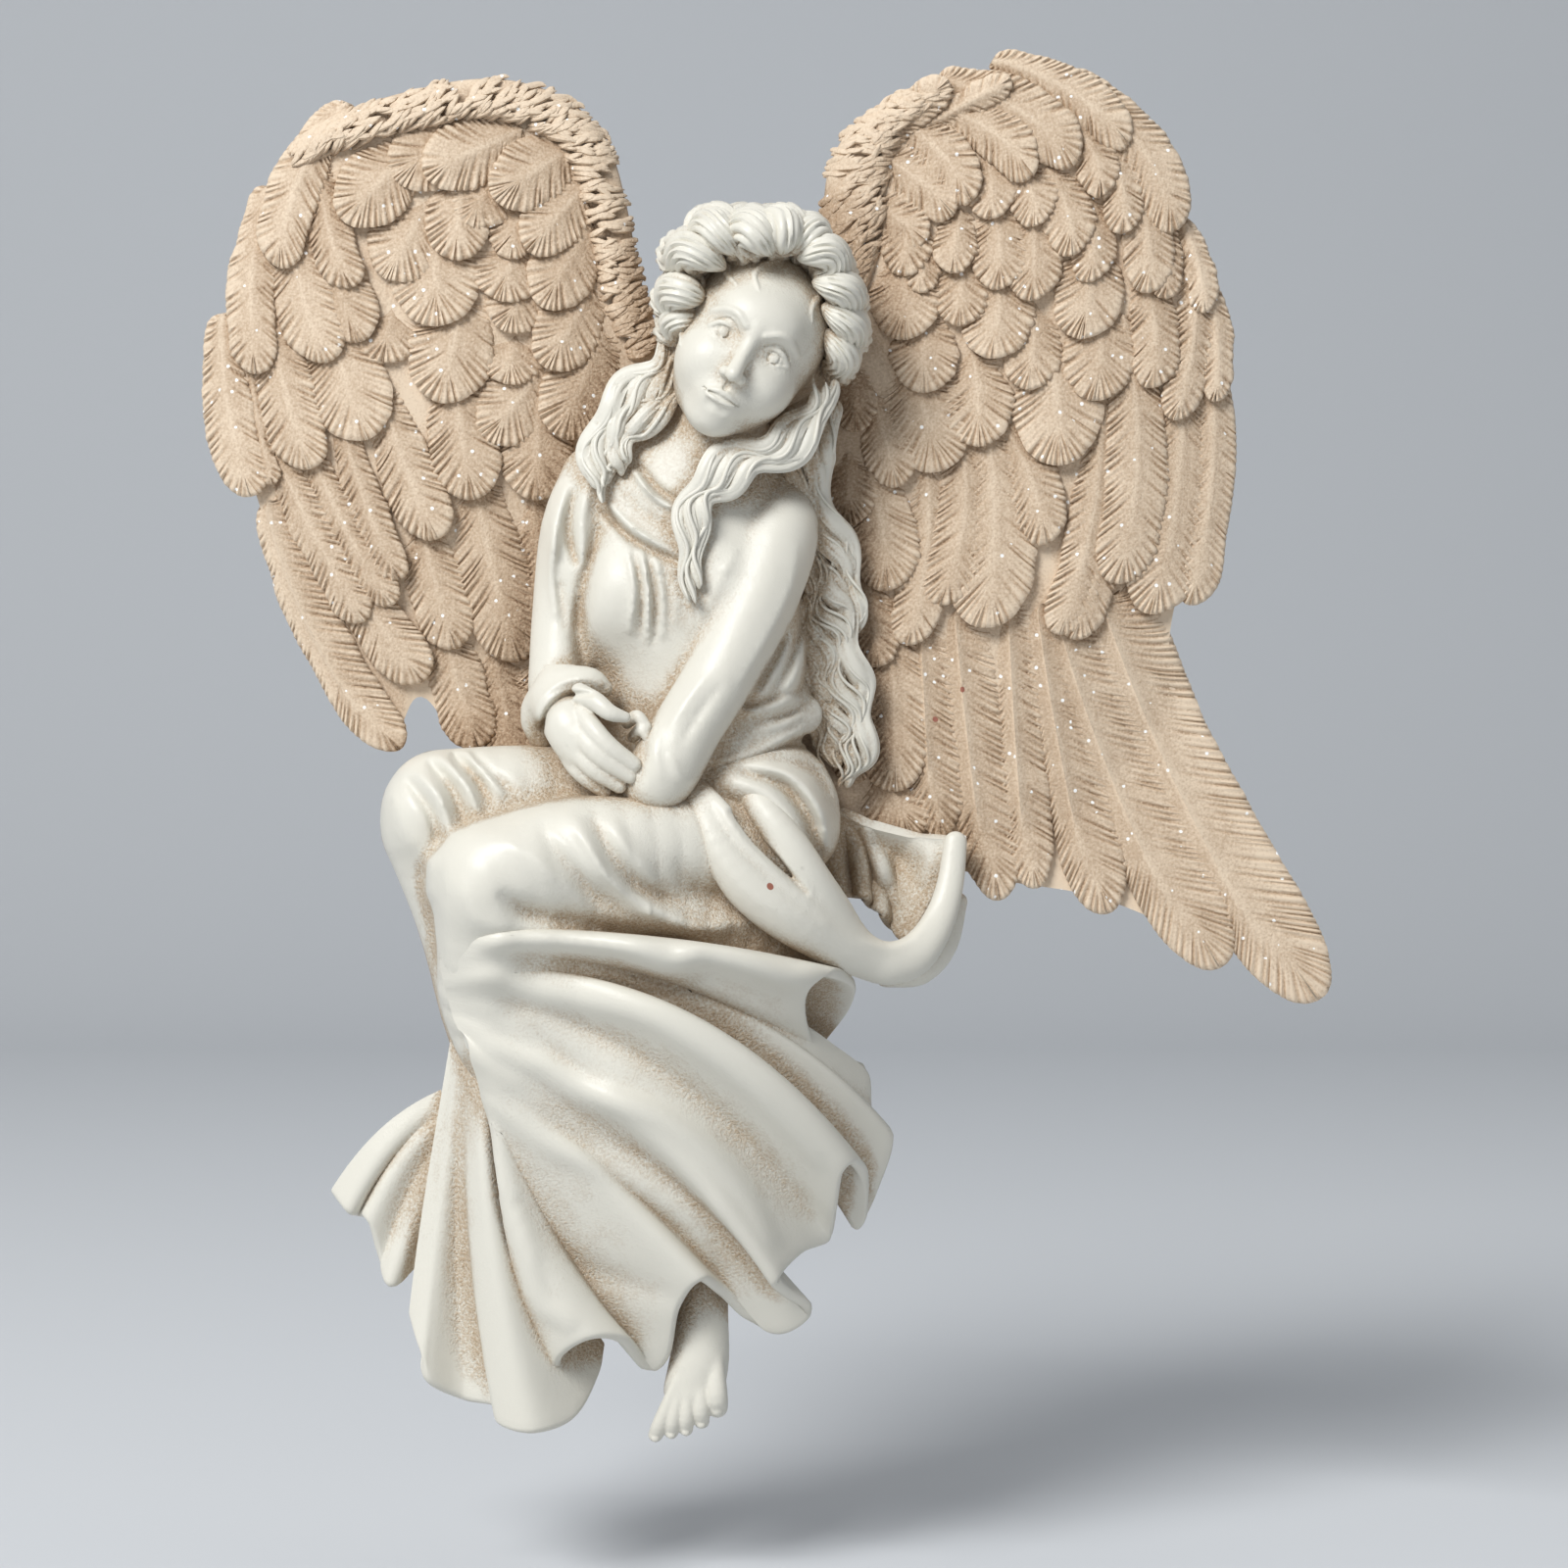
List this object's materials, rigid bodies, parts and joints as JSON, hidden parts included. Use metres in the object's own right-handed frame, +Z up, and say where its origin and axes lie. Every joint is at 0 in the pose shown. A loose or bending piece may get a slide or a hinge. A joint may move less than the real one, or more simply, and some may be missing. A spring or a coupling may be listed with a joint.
{
  "type": "angel wall sculpture",
  "caption": "Cast relief of a seated winged figure in a pleated gown, with spread feathered wings and a flat back, made to hang on a wall.",
  "frame": {"origin": "on the flat back that lies against the wall, behind the figure's waist, between the roots of the wings", "axes": "+Z up as it hangs, +X to the viewer's right, +Y into the wall, so the relief stands out towards -Y"},
  "size_m": [0.1685, 0.0375, 0.2094],
  "materials": {
    "resin": "matte cast polyresin, cream with a tan patina rubbed into the recesses"
  },
  "bodies": {
    "root": {"angel": "resin"}
  },
  "joints": []
}
